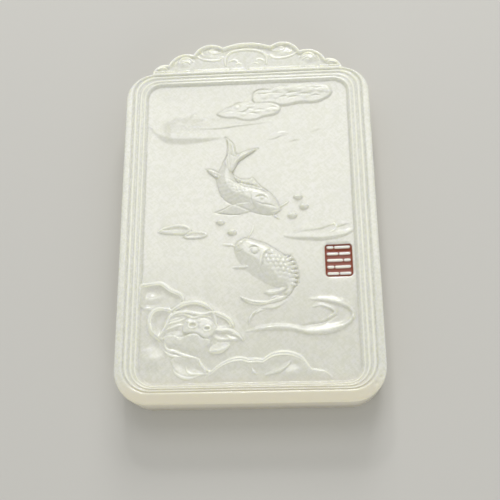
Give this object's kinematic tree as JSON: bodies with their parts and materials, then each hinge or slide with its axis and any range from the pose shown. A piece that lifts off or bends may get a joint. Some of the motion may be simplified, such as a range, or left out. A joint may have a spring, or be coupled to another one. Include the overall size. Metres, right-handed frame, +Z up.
{
  "type": "jade pendant",
  "caption": "Upright carved jade plaque pendant with a scrolled crest, a moulded frame and a sunk relief of carp, lotus, clouds and waves; it lies on its back.",
  "frame": {"origin": "on the surface the plaque lies on, under the middle of its bounding box", "axes": "+Z up, out of the carved front; +Y along the plaque towards the crest; +X to the right of someone who looks at the front with the crest up"},
  "size_m": [0.038, 0.0574, 0.0066],
  "materials": {
    "jade": "polished"
  },
  "bodies": {
    "root": {"jade_plaque": "jade"}
  },
  "joints": []
}
